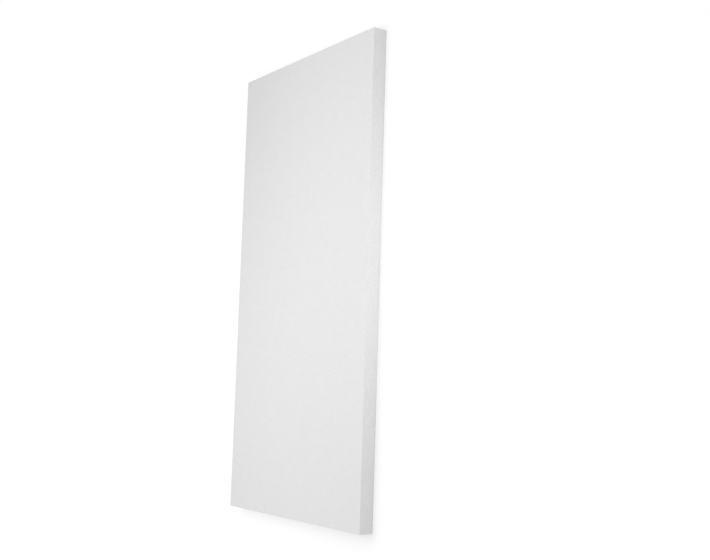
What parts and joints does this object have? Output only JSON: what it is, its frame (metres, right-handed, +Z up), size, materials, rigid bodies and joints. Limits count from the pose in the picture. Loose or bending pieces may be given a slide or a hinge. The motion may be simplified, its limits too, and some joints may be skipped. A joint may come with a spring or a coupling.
{
  "type": "expanded polystyrene insulation board",
  "caption": "Flat square-edged board of fused expanded polystyrene beads, hot-wire cut on every face, laid or butted edge to edge to insulate floors, walls and roofs.",
  "frame": {"origin": "middle of the underside, on the surface that the board lies on", "axes": "+X along the 2400 mm length, +Y across the 1200 mm width, +Z up through the 75 mm thickness"},
  "size_m": [2.4, 1.2, 0.075],
  "materials": {
    "expanded_polystyrene": "matt white, hot-wire cut through fused beads"
  },
  "bodies": {
    "root": {"insulation_board": "expanded_polystyrene"}
  },
  "joints": []
}
